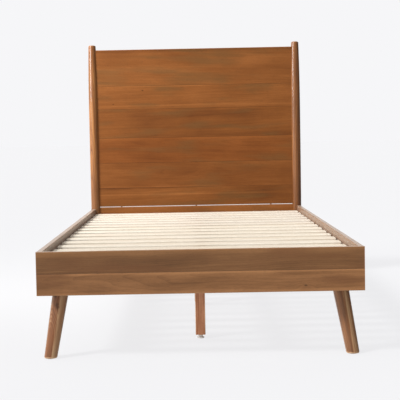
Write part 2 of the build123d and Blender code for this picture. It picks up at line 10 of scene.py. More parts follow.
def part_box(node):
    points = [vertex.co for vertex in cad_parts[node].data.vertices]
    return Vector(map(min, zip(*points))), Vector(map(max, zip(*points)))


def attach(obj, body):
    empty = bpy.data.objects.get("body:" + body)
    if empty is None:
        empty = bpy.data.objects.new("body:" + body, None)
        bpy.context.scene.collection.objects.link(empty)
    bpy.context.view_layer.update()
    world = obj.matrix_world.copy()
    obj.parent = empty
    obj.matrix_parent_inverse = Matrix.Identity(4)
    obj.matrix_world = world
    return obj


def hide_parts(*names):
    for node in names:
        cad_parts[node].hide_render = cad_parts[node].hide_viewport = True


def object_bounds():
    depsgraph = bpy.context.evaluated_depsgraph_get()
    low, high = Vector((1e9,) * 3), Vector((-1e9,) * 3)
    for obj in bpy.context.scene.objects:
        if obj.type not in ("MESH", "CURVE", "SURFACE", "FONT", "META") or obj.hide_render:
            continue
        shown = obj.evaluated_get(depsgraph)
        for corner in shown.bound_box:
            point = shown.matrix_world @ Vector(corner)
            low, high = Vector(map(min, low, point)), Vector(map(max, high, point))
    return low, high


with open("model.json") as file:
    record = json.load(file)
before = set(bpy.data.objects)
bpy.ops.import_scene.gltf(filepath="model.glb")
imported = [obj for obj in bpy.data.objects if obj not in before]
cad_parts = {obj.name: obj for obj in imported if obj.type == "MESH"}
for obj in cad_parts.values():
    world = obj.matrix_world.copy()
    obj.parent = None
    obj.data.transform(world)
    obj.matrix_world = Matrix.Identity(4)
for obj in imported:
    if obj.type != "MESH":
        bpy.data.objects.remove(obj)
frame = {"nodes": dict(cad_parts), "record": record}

# The visual model of a single (twin) wooden bed frame: stained timber, pale slats, steel and
# plastic fittings, with a studio and a camera. In metres, +X right seen from the foot and +Y to
# the headboard.

cad_low, cad_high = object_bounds()
NODES = frame["nodes"]
SLOT_OF_NODE = {part["node"]: part["material_slot"] for part in frame["record"]["subparts"]}
BODY_OF_NODE = {node: body for body, members in frame["record"]["behaviour"]["bodies"].items()
                for node in members}

X, Y, Z = Vector((1, 0, 0)), Vector((0, 1, 0)), Vector((0, 0, 1))
MM = 0.001


def add_object(name, data):
    """A new object in the scene."""
    piece = bpy.data.objects.new(name, data)
    bpy.context.scene.collection.objects.link(piece)
    return piece


def box_of(node):
    """The lowest and highest corners of a node, as vectors."""
    return [Vector(corner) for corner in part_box(node)]


# ---------------------------------------------------------------- node trees
class Tree:
    """Short calls for building a shader's node tree."""

    def __init__(self, tree):
        self.tree = tree

    def new(self, kind, inputs=None, **settings):
        node = self.tree.nodes.new(kind)
        for name, value in settings.items():
            setattr(node, name, value)
        for key, value in (inputs or {}).items():
            self.feed(node.inputs[key], value)
        return node

    def feed(self, socket, value):
        if isinstance(value, bpy.types.NodeSocket):
            self.tree.links.new(value, socket)
        else:
            socket.default_value = value

    def math(self, operation, first, second=0.0, third=0.0):
        inputs = {0: first, 1: second, 2: third}
        return self.new("ShaderNodeMath", inputs, operation=operation).outputs[0]

    def total(self, *terms):
        """The sum of (value, weight) pairs."""
        result = 0.0
        for value, weight in terms:
            result = self.math("MULTIPLY_ADD", value, weight, result)
        return result

    def vector(self, operation, first, second=(0, 0, 0)):
        node = self.new("ShaderNodeVectorMath", {0: first, 1: second}, operation=operation)
        return node.outputs["Value" if operation in ("LENGTH", "DOT_PRODUCT") else "Vector"]

    def split(self, vector):
        """The three parts of a vector."""
        node = self.new("ShaderNodeSeparateXYZ", {0: vector})
        return node.outputs[0], node.outputs[1], node.outputs[2]

    def join(self, x, y, z):
        return self.new("ShaderNodeCombineXYZ", {0: x, 1: y, 2: z}).outputs[0]

    def step(self, value, start, end):
        """0 before start and 1 after end, smooth between; start may be above end."""
        inputs = {"Value": value, "From Min": start, "From Max": end}
        node = self.new("ShaderNodeMapRange", inputs, interpolation_type="SMOOTHSTEP")
        return node.outputs["Result"]

    def noise(self, place, size, detail=2.0, roughness=0.5, colour=False):
        """Fractal noise whose patches are about size = (x, y, z) metres."""
        scaled = self.vector("DIVIDE", place, size)
        inputs = {"Vector": scaled, "Scale": 1.0, "Detail": detail, "Roughness": roughness}
        node = self.new("ShaderNodeTexNoise", inputs)
        return node.outputs["Color" if colour else 0]

    def mix(self, factor, first, second):
        """Mixes two colours."""
        inputs = {0: factor, 6: first, 7: second}
        return self.new("ShaderNodeMix", inputs, data_type="RGBA").outputs[2]

    def ramp(self, value, stops):
        """A colour from (position, colour) stops."""
        node = self.new("ShaderNodeValToRGB", {0: value})
        elements = node.color_ramp.elements
        while len(elements) < len(stops):
            elements.new(0.5)
        for element, (position, colour) in zip(elements, stops):
            element.position = position
            element.color = (*colour, 1.0)
        return node.outputs[0]


def blank_material(name):
    """(a new material with no nodes, its tree)."""
    material = bpy.data.materials.new(name)
    material.use_nodes = True
    material.node_tree.nodes.clear()
    return material, Tree(material.node_tree)


def finish_surface(tree, inputs, height, depth):
    """The shader's output: a principled surface with a bump of that depth in metres."""
    bump = tree.new("ShaderNodeBump", {"Strength": 1.0, "Distance": depth, "Height": height})
    shader = tree.new("ShaderNodeBsdfPrincipled", {**inputs, "Normal": bump.outputs[0]})
    tree.new("ShaderNodeOutputMaterial", {"Surface": shader.outputs[0]})


def own_place(tree):
    """Where a point is on the piece at rest, in metres."""
    return tree.new("ShaderNodeTexCoord").outputs["Object"]


# ---------------------------------------------------------------- timber
# The figure's sizes in metres, along the grain and then across it.
WANDER_SIZE = (0.55, 0.09, 0.09)
WANDER_REACH = (0.0, 0.034, 0.034)      # how far the grain wanders, along and across
BAND_SIZE = (0.009, 1.0, 1.0)           # measured outwards from the pith
RING_WIDTH = 0.0052
FIBRE_SIZE = (0.05, 0.0011, 0.0011)
PORE_SIZE = (0.014, 0.0006, 0.0006)
STREAK_SIZE = (0.34, 0.011, 0.011)
CLOUD_SIZE = (0.22, 0.055, 0.055)
PATCH_SIZE = (0.30, 0.05, 0.05)
PATCH_SHIFT = (7.3, 1.9, 4.2)           # takes the patches from another part of the noise
BAND_SHARE = 0.8                        # the rings are this share bands, the rest late wood


def wood_figure():
    """A node group: from a place in the timber, x along the grain from the pith, to its figure."""
    group = bpy.data.node_groups.new("wood_figure", "ShaderNodeTree")
    group.interface.new_socket("Place", in_out="INPUT", socket_type="NodeSocketVector")
    group.interface.new_socket("Swirl", in_out="INPUT", socket_type="NodeSocketFloat")
    for name in ("Rings", "Streaks", "Fibres", "Pores", "Clouds", "Patches"):
        group.interface.new_socket(name, in_out="OUTPUT", socket_type="NodeSocketFloat")
    tree = Tree(group)
    given = tree.new("NodeGroupInput")
    place = given.outputs["Place"]

    wander = tree.noise(place, WANDER_SIZE, colour=True)
    wander = tree.vector("SUBTRACT", wander, (0.5, 0.5, 0.5))
    wander = tree.vector("MULTIPLY", wander, WANDER_REACH)
    _, across, deep = tree.split(tree.vector("ADD", place, wander))
    from_pith = tree.vector("LENGTH", tree.join(0.0, across, deep))
    from_pith = tree.math("ADD", from_pith, given.outputs["Swirl"])

    bands = tree.noise(tree.join(from_pith, 0.0, 0.0), BAND_SIZE, detail=4.0, roughness=0.6)
    year = tree.math("FRACT", tree.math("DIVIDE", from_pith, RING_WIDTH))
    early = tree.math("SUBTRACT", 1.0, tree.math("POWER", year, 3.0))
    fibres = tree.noise(place, FIBRE_SIZE)
    pores = tree.noise(place, PORE_SIZE, detail=1.0)
    tree.new("NodeGroupOutput", {
        "Rings": tree.total((bands, BAND_SHARE), (early, 1.0 - BAND_SHARE)),
        "Streaks": tree.noise(place, STREAK_SIZE, detail=4.0, roughness=0.6),
        "Fibres": fibres,
        "Pores": tree.step(pores, 0.60, 0.72),
        "Clouds": tree.noise(place, CLOUD_SIZE, detail=3.0),
        "Patches": tree.noise(tree.vector("ADD", place, PATCH_SHIFT), PATCH_SIZE),
    })
    return group


FIGURE = wood_figure()

# The timbers. stops: colours in linear light, from the darkest wood to the lightest. patch: the
# colour where the stain took differently, and patched: how much of it shows. figure: the weights
# of FIGURE_PARTS in the shade. The last four are the shader's.
TIMBERS = {
    "headboard_wood": {
        "stops": ((0.15, (0.115, 0.034, 0.006)), (0.50, (0.205, 0.067, 0.0135)),
                  (0.85, (0.300, 0.106, 0.026))),
        "patch": (0.130, 0.062, 0.018), "patched": 0.55,
        "figure": (0.42, 0.34, 0.20, 0.55),
        "roughness": 0.44, "specular": 0.20, "coat": 0.03, "sheen": 0.0,
    },
    "rail_wood": {
        "stops": ((0.22, (0.092, 0.038, 0.012)), (0.50, (0.166, 0.073, 0.026)),
                  (0.80, (0.250, 0.116, 0.044))),
        "patch": (0.150, 0.058, 0.020), "patched": 0.6,
        "figure": (0.50, 0.36, 0.20, 0.60),
        "roughness": 0.31, "specular": 0.30, "coat": 0.12, "sheen": 0.55,
    },
    "post_wood": {
        "stops": ((0.22, (0.085, 0.029, 0.007)), (0.50, (0.195, 0.068, 0.017)),
                  (0.80, (0.360, 0.150, 0.042))),
        "patch": (0.150, 0.052, 0.014), "patched": 0.4,
        "figure": (0.95, 0.60, 0.15, 0.40),
        "roughness": 0.30, "specular": 0.35, "coat": 0.55, "sheen": 0.0,
    },
    "leg_wood": {
        "stops": ((0.22, (0.115, 0.050, 0.022)), (0.50, (0.245, 0.103, 0.046)),
                  (0.90, (0.540, 0.350, 0.205))),
        "patch": (0.260, 0.095, 0.036), "patched": 0.6,
        "figure": (0.95, 0.60, 0.15, 0.50),
        "roughness": 0.38, "specular": 0.28, "coat": 0.12, "sheen": 0.0,
    },
    "slat_wood": {
        "stops": ((0.20, (0.640, 0.525, 0.395)), (0.50, (0.750, 0.665, 0.550)),
                  (0.80, (0.815, 0.750, 0.660))),
        "patch": (0.780, 0.650, 0.490), "patched": 0.5,
        "figure": (0.55, 0.40, 0.10, 0.30),
        "roughness": 0.58, "specular": 0.35, "coat": 0.0, "sheen": 0.0,
    },
    "support_wood": {
        "stops": ((0.22, (0.100, 0.045, 0.020)), (0.50, (0.170, 0.080, 0.036)),
                  (0.80, (0.240, 0.120, 0.056))),
        "patch": (0.210, 0.090, 0.040), "patched": 0.5,
        "figure": (0.50, 0.40, 0.12, 0.30),
        "roughness": 0.55, "specular": 0.35, "coat": 0.0, "sheen": 0.0,
    },
}
FIGURE_PARTS = ("Rings", "Streaks", "Fibres", "Clouds")

# How much lighter or darker some boards are than the rest of their timber, in red, green and blue.
TONES = {
    "headboard_board_1": (0.97, 0.98, 0.98),
    "headboard_board_2": (0.90, 0.88, 0.84),
    "headboard_board_3": (0.90, 0.82, 0.70),
    "headboard_board_4": (0.96, 0.95, 0.90),
    "headboard_board_6": (0.97, 0.97, 0.98),
    "footboard_lower": (1.42, 1.42, 1.46),
    "front_leg_left": (0.92, 0.87, 0.82),
    "front_leg_right": (0.95, 0.95, 0.88),
    "centre_leg_front": (1.58, 1.36, 1.36),
    "centre_leg_rear": (1.58, 1.36, 1.36),
    # slats 9 to 14, towards the head, are darker partly as natural variation, partly as painted
    # shade that tempers the soft box's light there
    **{f"slat_{number:02d}": (0.95, 0.95, 0.97) for number in range(9, 15)},
}

# Knots, and one patch of painted shade: places as fractions of the board's box, with a radius in
# metres.
KNOTS_AND_SHADE = {
    "headboard_board_5": [((0.24, 0.0, 0.80), 0.004), ((0.09, 0.0, 0.22), 0.003)],
    "footboard_lower": [((0.82, 0.0, 0.28), 0.004)],
    "slat_03": [((0.28, 0.2, 1.0), 0.005)],
    "slat_08": [((0.71, 0.6, 1.0), 0.006)],
    # the left front leg's second mark is no knot: it is a painted shadow, the rail's shade darkening
    # the leg's top
    "front_leg_left": [((0.56, 0.33, 0.77), 0.010), ((0.50, 0.42, 0.95), 0.012)],
    "side_rail_left_upper": [((0.0, 0.62, 0.4), 0.007)],
    "side_rail_right_lower": [((1.0, 0.35, 0.6), 0.008)],
}

# Lighter or darker bands along a board: (height as a fraction of the board, half width in metres,
# change of shade, and the part of the board's length that it covers).
BANDS = {
    # board 1's broad dark band over its right end is painted shade: the panel darker towards its
    # lower right
    "headboard_board_1": [(0.62, 0.004, 0.20, (0.0, 1.0)), (0.98, 0.005, -0.20, (0.0, 0.45)),
                          (0.50, 0.050, -0.20, (0.74, 1.0))],
    "headboard_board_2": [(0.02, 0.006, 0.18, (0.0, 0.55)), (0.55, 0.035, -0.08, (0.3, 1.0))],
    "headboard_board_3": [(0.97, 0.010, 0.12, (0.0, 1.0)), (0.45, 0.055, -0.14, (0.22, 0.50))],
    "headboard_board_4": [(0.04, 0.016, -0.14, (0.15, 1.0)), (0.78, 0.022, -0.22, (0.38, 0.80)),
                          (0.50, 0.060, -0.12, (0.20, 0.48))],
    "headboard_board_5": [(0.99, 0.004, 0.30, (0.05, 0.60)), (0.14, 0.005, 0.14, (0.0, 1.0))],
    "headboard_board_6": [(0.97, 0.010, -0.22, (0.0, 1.0)), (0.45, 0.022, -0.10, (0.60, 1.0))],
    "headboard_lower_rail": [(0.90, 0.030, 0.14, (0.0, 1.0))],
    # the light lines along footboard_lower's bottom edge and footboard_upper's top edge are painted
    # highlights on the rounded edges
    "footboard_lower": [(0.95, 0.004, 0.26, (0.0, 1.0)), (0.50, 0.018, -0.22, (0.33, 0.50)),
                        (0.04, 0.006, 0.16, (0.0, 1.0))],
    "footboard_upper": [(0.98, 0.004, 0.45, (0.0, 1.0)), (0.88, 0.008, 0.18, (0.0, 1.0)),
                        (0.40, 0.020, -0.08, (0.0, 0.6))],
}

# Stripes up a leg: (metres to the right of its middle, half width in metres, change of shade).
LEG_STRIPES = {
    # the left leg's strong light stripe right of its middle is partly a pale streak in the wood,
    # partly painted light that lifts the shaded right side
    "front_leg_left": [(0.013, 0.008, 0.90), (-0.010, 0.008, -0.10)],
    "front_leg_right": [(0.008, 0.008, 0.20), (-0.004, 0.008, -0.12)],
}


def leg_ends(piece):
    """The middles of a leg's foot and top, from the flat faces at its ends."""
    low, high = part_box(piece.name)
    ends = []
    for height in (low[2], high[2]):
        corners = [v.co for v in piece.data.vertices if abs(v.co.z - height) < 2 * MM]
        ends.append(sum(corners, Vector()) / len(corners))
    return ends


def grain_direction(node):
    """The direction of the grain in a node's timber."""
    if node.startswith("front_leg"):
        foot, top = leg_ends(NODES[node])
        return (top - foot).normalized()
    if node.startswith(("headboard_post", "centre_leg", "spacer")):
        return Z
    if node.startswith(("side_rail", "slat_ledger", "centre_beam", "corner_block")):
        return Y
    return X


GRAIN_TILT = 0.035                      # radians, at most, between a board and its log
FROM_PITH = (0.035, 0.11)               # metres from the log's pith to a board's middle
ALONG_LOG = 20.0                        # boards are taken from this far either way along it


def timber_place(tree, position, node, draw):
    """The point's place in the log that the board was sawn from, x along the grain."""
    low, high = box_of(node)
    turn = grain_direction(node).rotation_difference(X).to_matrix()
    tilts = [Matrix.Rotation(draw.uniform(-GRAIN_TILT, GRAIN_TILT), 3, axis) for axis in "YZ"]
    turn = tilts[0] @ tilts[1] @ turn
    angle = draw.uniform(0, math.tau)
    out = draw.uniform(*FROM_PITH)
    along = draw.uniform(-ALONG_LOG, ALONG_LOG)
    shift = Vector((along, out * math.cos(angle), out * math.sin(angle)))
    offset = shift - turn @ ((low + high) / 2)
    inputs = {"Vector": position, "Location": offset, "Rotation": turn.to_euler()}
    return tree.new("ShaderNodeMapping", inputs, vector_type="POINT").outputs[0]


KNOT_SQUEEZE = 0.45                     # a knot is this much longer along the grain


def knot_and_shade_masks(tree, position, node):
    """(how far the knots push the rings aside, where their dark cores and the painted shade are)."""
    low, high = box_of(node)
    swirl, knot_cores_and_shade = 0.0, 0.0
    squeeze = Vector(1 - KNOT_SQUEEZE * abs(part) for part in grain_direction(node))
    for fractions, radius in KNOTS_AND_SHADE.get(node, ()):
        middle = low + Vector(fractions) * (high - low)
        away = tree.vector("MULTIPLY", tree.vector("SUBTRACT", position, middle), squeeze)
        distance = tree.vector("LENGTH", away)
        ragged = tree.noise(position, (0.006, 0.006, 0.006))
        ragged = tree.total((distance, 1.0), (ragged, radius * 0.8), (1.0, -radius * 0.4))
        swirl = tree.total((tree.step(distance, radius * 6, 0.0), radius * 1.6), (swirl, 1.0))
        knot_cores_and_shade = tree.math("MAXIMUM", knot_cores_and_shade, tree.step(ragged, radius, radius * 0.35))
    return swirl, knot_cores_and_shade


BAND_FADE = 0.12                        # metres either side of a band's end


def band_shade(tree, position, node):
    """The change of shade of the bands along a board."""
    low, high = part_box(node)
    x, _, z = tree.split(position)
    shade = 0.0
    for height, half_width, change, (start, end) in BANDS.get(node, ()):
        middle = low[2] + height * (high[2] - low[2])
        first = low[0] + start * (high[0] - low[0])
        last = low[0] + end * (high[0] - low[0])
        wave = tree.noise(position, (0.35, 1.0, 1.0))
        line = tree.total((wave, half_width * 1.5), (1.0, middle - half_width * 0.75))
        off = tree.math("ABSOLUTE", tree.math("SUBTRACT", z, line))
        inside = tree.step(off, half_width * 1.6, 0.0)
        if start > 0:
            fade = tree.step(x, first - BAND_FADE, first + BAND_FADE)
            inside = tree.math("MULTIPLY", inside, fade)
        if end < 1:
            fade = tree.step(x, last + BAND_FADE, last - BAND_FADE)
            inside = tree.math("MULTIPLY", inside, fade)
        shade = tree.total((inside, change), (shade, 1.0))
    return shade


def stripe_shade(tree, position, node):
    """The change of shade of the stripes that run up a leg; the left leg's light stripe is partly
    painted light.
    """
    if node not in LEG_STRIPES:
        return 0.0
    foot, top = leg_ends(NODES[node])
    side = Y.cross(top - foot).normalized()
    across = tree.vector("DOT_PRODUCT", tree.vector("SUBTRACT", position, foot), side)
    wave = tree.noise(position, (0.03, 0.03, 0.09), detail=3.0)
    shade = 0.0
    for middle, half_width, change in LEG_STRIPES[node]:
        line = tree.total((wave, half_width), (1.0, middle - half_width / 2))
        off = tree.math("ABSOLUTE", tree.math("SUBTRACT", across, line))
        shade = tree.total((tree.step(off, half_width * 1.5, 0.0), change), (shade, 1.0))
    return shade


def seams_of(node):
    """Whether the node's board is glued to another below it and above it."""
    if node.startswith("headboard_board"):
        number = int(node[-1])
        return number > 1, number < 6
    if node.startswith(("footboard", "side_rail")):
        return node.endswith("upper"), node.endswith("lower")
    return False, False


SEAM_WIDTH = (1.4 * MM, 0.2 * MM)       # where a glue line starts to show, and is full
EDGE_WEAR_AND_HIGHLIGHT = (3.2 * MM, 0.4 * MM)        # the same for a worn edge, which also carries a painted highlight
EDGE_RAGGED = 3.0 * MM                  # how unevenly an edge's wear and painted highlight run


def edge_masks(tree, position, node):
    """(worn outer edges that also carry a painted highlight, dark glue lines) of a board."""
    low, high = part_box(node)
    glued_below, glued_above = seams_of(node)
    gaps, seam = [], 0.0
    for axis, value in enumerate(tree.split(position)):
        from_low = tree.math("SUBTRACT", value, low[axis])
        from_high = tree.math("SUBTRACT", high[axis], value)
        if axis == 2 and glued_below:
            seam = tree.math("MAXIMUM", seam, tree.step(from_low, *SEAM_WIDTH))
            from_low = 1.0
        if axis == 2 and glued_above:
            seam = tree.math("MAXIMUM", seam, tree.step(from_high, *SEAM_WIDTH))
            from_high = 1.0
        gaps.append(tree.math("MINIMUM", from_low, from_high))
    nearer = tree.math("MINIMUM", gaps[0], gaps[1])
    farther = tree.math("MAXIMUM", gaps[0], gaps[1])
    to_edge = tree.math("MAXIMUM", nearer, tree.math("MINIMUM", farther, gaps[2]))
    ragged = tree.noise(position, (0.03, 0.03, 0.03), detail=3.0)
    to_edge = tree.total((to_edge, 1.0), (ragged, EDGE_RAGGED), (1.0, -EDGE_RAGGED / 2))
    return tree.step(to_edge, *EDGE_WEAR_AND_HIGHLIGHT), seam


FOOT_WEAR = (4.0 * MM, 6.0 * MM)        # how far wear reaches up from a leg's foot, how unevenly
TOP_WEAR = (3.0 * MM, 4.0 * MM)         # the same down from its top


def end_mask(tree, position, node):
    """Wear round the ends of a turned leg or post."""
    low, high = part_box(node)
    z = tree.split(position)[2]
    ragged = tree.noise(position, (0.012, 0.012, 0.012), detail=3.0)
    up = tree.total((z, 1.0), (1.0, -low[2]), (ragged, -FOOT_WEAR[1]))
    down = tree.total((z, -1.0), (1.0, high[2]), (ragged, -TOP_WEAR[1]))
    return tree.math("MAXIMUM", tree.step(up, FOOT_WEAR[0], 0.0), tree.step(down, TOP_WEAR[0], 0.0))


BOARD_SHADE = 0.05                      # how much boards differ, either way
# WEAR_AND_HIGHLIGHT_PALE: how pale worn edges go; on board edges this pale is also a painted
# highlight on the rounded edges
PORE_DARK, WEAR_AND_HIGHLIGHT_PALE, SEAM_DARK, KNOT_AND_SHADE_DARK = 0.38, 0.55, 0.55, 0.70
DEEP = 0.45                             # pores, seams, knots and the painted shade, of the darkest wood's colour
COAT_ROUGHNESS = 0.16
SHEEN_ROUGHNESS = 0.35
SHEEN_TINT = (1.0, 0.86, 0.74, 1.0)
WOOD_BUMP = 0.12 * MM


def wood(node):
    """The material of one board, sawn from its own place in the log."""
    slot = SLOT_OF_NODE[node]
    timber = TIMBERS[slot]
    draw = random.Random(node)
    material, tree = blank_material(f"{slot}_{node}")
    position = own_place(tree)
    # the dark cores are knots, and on the left front leg also a painted shadow at its top
    swirl, knot_cores_and_shade = knot_and_shade_masks(tree, position, node)
    place = timber_place(tree, position, node, draw)
    figure = tree.new("ShaderNodeGroup", node_tree=FIGURE)
    tree.feed(figure.inputs["Place"], place)
    tree.feed(figure.inputs["Swirl"], swirl)
    seen = figure.outputs

    middle = 0.5 - sum(timber["figure"]) / 2 + draw.uniform(-BOARD_SHADE, BOARD_SHADE)
    terms = [(seen[name], weight) for name, weight in zip(FIGURE_PARTS, timber["figure"])]
    shade = tree.total(*terms, (1.0, middle), (band_shade(tree, position, node), 1.0),
                       (stripe_shade(tree, position, node), 1.0))
    tone = TONES.get(node, (1.0, 1.0, 1.0))
    stops = [(at, tuple(part * change for part, change in zip(stop, tone)))
             for at, stop in timber["stops"]]
    colour = tree.ramp(shade, stops)
    patch = tree.math("MULTIPLY", tree.step(seen["Patches"], 0.50, 0.72), timber["patched"])
    colour = tree.mix(patch, colour, (*timber["patch"], 1.0))

    dark, light = timber["stops"][0][1], timber["stops"][-1][1]
    deep = tuple(part * DEEP for part in dark)
    # the pale of worn edges and ends, which on board edges also stands for a painted highlight
    pale_wear_and_highlight = tuple(min(1.0, part * 1.25 + 0.015) for part in light)
    if node.startswith(("headboard_post", "front_leg")):
        wear_and_highlight, seam = end_mask(tree, position, node), 0.0
    else:
        wear_and_highlight, seam = edge_masks(tree, position, node)
    for mask, amount, tint in ((seen["Pores"], PORE_DARK, deep), (wear_and_highlight, WEAR_AND_HIGHLIGHT_PALE, pale_wear_and_highlight),
                               (seam, SEAM_DARK, deep), (knot_cores_and_shade, KNOT_AND_SHADE_DARK, deep)):
        colour = tree.mix(tree.math("MULTIPLY", mask, amount), colour, (*tint, 1.0))

    roughness = tree.total((seen["Streaks"], 0.14), (seen["Pores"], 0.12), (wear_and_highlight, 0.08),
                           (1.0, timber["roughness"] - 0.07))
    height = tree.total((seen["Fibres"], 0.35), (seen["Pores"], -0.5), (seen["Rings"], 0.3),
                        (knot_cores_and_shade, 0.4), (1.0, 0.5))
    inputs = {"Base Color": colour, "Roughness": roughness,
              "Specular IOR Level": timber["specular"],
              "Coat Weight": timber["coat"], "Coat Roughness": COAT_ROUGHNESS,
              "Sheen Weight": timber["sheen"], "Sheen Roughness": SHEEN_ROUGHNESS,
              "Sheen Tint": SHEEN_TINT}
    finish_surface(tree, inputs, height, WOOD_BUMP)
    return material


# ---------------------------------------------------------------- steel and plastic
STEEL_BUMP = 0.04 * MM
PLASTIC_BUMP = 0.05 * MM
PEBBLES_PER_METRE = 900.0
DUST_HEIGHT = 4 * MM
DUST = (0.30, 0.28, 0.25, 1.0)


def steel(name, colour, roughness):
    """Plated steel with fine brushing, small stains and brighter rubbed spots."""
    material, tree = blank_material(name)
    position = own_place(tree)
    brushed = tree.noise(position, (0.0006, 0.006, 0.0006), detail=3.0)
    stain = tree.noise(position, (0.009, 0.009, 0.009), detail=4.0)
    dull = tuple(part * 0.62 for part in colour)
    bright = tuple(min(1.0, part * 1.12) for part in colour)
    shade = tree.ramp(stain, ((0.30, dull), (0.55, colour), (0.75, bright)))
    rough = tree.total((brushed, 0.16), (stain, 0.14), (1.0, roughness - 0.15))
    height = tree.total((brushed, 0.7), (stain, 0.3))
    inputs = {"Base Color": shade, "Metallic": 1.0, "Roughness": rough}
    finish_surface(tree, inputs, height, STEEL_BUMP)
    return material


def plastic(name, colour, roughness):
    """Moulded plastic: a fine pebbled skin, scuffed and dusty near the floor."""
    material, tree = blank_material(name)
    position = own_place(tree)
    pebbles = tree.new("ShaderNodeTexVoronoi", {"Vector": position, "Scale": PEBBLES_PER_METRE})
    scuffs = tree.noise(position, (0.004, 0.004, 0.0015), detail=4.0)
    z = tree.split(position)[2]
    dusty = tree.math("MULTIPLY", tree.step(z, DUST_HEIGHT, 0.0), tree.step(scuffs, 0.35, 0.65))
    shade = tree.mix(tree.math("MULTIPLY", scuffs, 0.35), (*colour, 1.0),
                     (*(part * 0.72 for part in colour), 1.0))
    shade = tree.mix(tree.math("MULTIPLY", dusty, 0.4), shade, DUST)
    rough = tree.total((scuffs, 0.2), (dusty, 0.2), (1.0, roughness - 0.1))
    height = tree.total((pebbles.outputs["Distance"], 0.6), (scuffs, 0.4))
    inputs = {"Base Color": shade, "Roughness": rough, "Specular IOR Level": 0.45}
    finish_surface(tree, inputs, height, PLASTIC_BUMP)
    return material


FITTINGS = {
    "zinc_steel": steel("zinc_steel", (0.62, 0.63, 0.66), 0.34),
    "fastener_steel": steel("fastener_steel", (0.50, 0.46, 0.38), 0.38),
    "leveller_plastic": plastic("leveller_plastic", (0.78, 0.78, 0.77), 0.42),
    "glide_plastic": plastic("glide_plastic", (0.20, 0.17, 0.15), 0.50),
}


def dress(piece, material):
    """Gives a piece its one material."""
    piece.data.materials.clear()
    piece.data.materials.append(material)


def dress_frame():
    """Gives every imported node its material."""
    for node, piece in NODES.items():
        slot = SLOT_OF_NODE[node]
        dress(piece, FITTINGS[slot] if slot in FITTINGS else wood(node))


# ---------------------------------------------------------------- detailed fittings
CROSS_ARM = (0.55, 0.16)        # a cross's arm: reach and half width, of the head's radius
SLOT_ARM = (1.2, 0.14)          # a slot's, right across the head
CROSS_TAPER = 0.8               # how much of its width a cross recess keeps at the bottom
RECESS_DEPTH = 1.6 * MM
RECESS_LEAD = 0.5 * MM          # how far the cutter stands out of the head
WELD = 0.001 * MM               # points this close are one point
SHARP = math.radians(30)        # edges sharper than this aren't smoothed
THREAD_PITCH = 1.25 * MM
THREAD_DEPTH = 0.65 * MM
THREAD_STEPS = 32               # round one turn
# points of the thread's tooth, as fractions of its depth and of its pitch
THREAD_TOOTH = ((0.0, 0.0), (0.0, 0.12), (1.0, 0.42), (1.0, 0.58), (0.0, 0.88))
PAD_SEGMENTS = 144
PAD_HUB = 0.65                  # its radius, of the flange's
PAD_SHOULDER = 0.39             # the flange's top, of the pad's height
FLANGE_FLUTES, HUB_FLUTES = 24, 12


def mesh_of(solid, name):
    """A mesh of a finished bmesh, its faces turned outwards."""
    bmesh.ops.recalc_face_normals(solid, faces=solid.faces)
    mesh = bpy.data.meshes.new(name)
    solid.to_mesh(mesh)
    solid.free()
    return mesh


def new_piece(name, mesh, node):
    """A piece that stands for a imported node, with its body, its slot and its finish."""
    mesh.shade_smooth()
    mesh.set_sharp_from_angle(angle=SHARP)
    piece = add_object(name, mesh)
    dress(piece, FITTINGS[SLOT_OF_NODE[node]])
    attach(piece, BODY_OF_NODE[node])
    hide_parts(node)


def welded(mesh):
    """(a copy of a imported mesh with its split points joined, the points of each of its solids)."""
    solid = bmesh.new()
    solid.from_mesh(mesh)
    bmesh.ops.remove_doubles(solid, verts=solid.verts, dist=WELD)
    solid.verts.index_update()
    copy = bpy.data.meshes.new("welded")
    copy.from_pydata([vertex.co.copy() for vertex in solid.verts], [],
                     [[vertex.index for vertex in face.verts] for face in solid.faces])
    found, seen = [], set()
    for start in solid.verts:
        if start in seen:
            continue
        seen.add(start)
        stack, points = [start], []
        while stack:
            vertex = stack.pop()
            points.append(vertex.co.copy())
            for edge in vertex.link_edges:
                other = edge.other_vert(vertex)
                if other not in seen:
                    seen.add(other)
                    stack.append(other)
        found.append(points)
    solid.free()
    return copy, found


def head_of(points):
    """(middle of a fastener's head, direction into the wood, radius of the head)."""
    low = Vector(min(point[i] for point in points) for i in range(3))
    high = Vector(max(point[i] for point in points) for i in range(3))
    middle, size = (low + high) / 2, high - low
    axis = max(range(3), key=lambda i: size[i])
    ends = []
    for end in (low[axis], high[axis]):
        centre = middle.copy()
        centre[axis] = end
        radius = max((point - centre).length for point in points if abs(point[axis] - end) < WELD)
        ends.append((round(radius, 5), -abs(end), centre))
    # the wider end, or of two alike the one that faces the bed's middle
    radius, _, head = max(ends, key=lambda found: found[:2])
    return head, (middle - head).normalized(), radius


def add_loops(solid, loops):
    """A closed body through loops of as many points each."""
    loops = [[solid.verts.new(point) for point in loop] for loop in loops]
    count = len(loops[0])
    for near, far in zip(loops, loops[1:]):
        for i in range(count):
            j = (i + 1) % count
            solid.faces.new((near[i], near[j], far[j], far[i]))
    solid.faces.new(loops[0])
    solid.faces.new(loops[-1])


def recess_outline(kind, radius):
    """The outline of a driver's recess round the middle of a head."""
    if kind == "slot":
        a, b = SLOT_ARM[0] * radius, SLOT_ARM[1] * radius
        return [(a, b), (-a, b), (-a, -b), (a, -b)]
    a, b = CROSS_ARM[0] * radius, CROSS_ARM[1] * radius
    turns = ((1, 0), (0, 1), (-1, 0), (0, -1))
    return [(x * c - y * s, x * s + y * c) for c, s in turns for x, y in ((a, -b), (a, b), (b, b))]


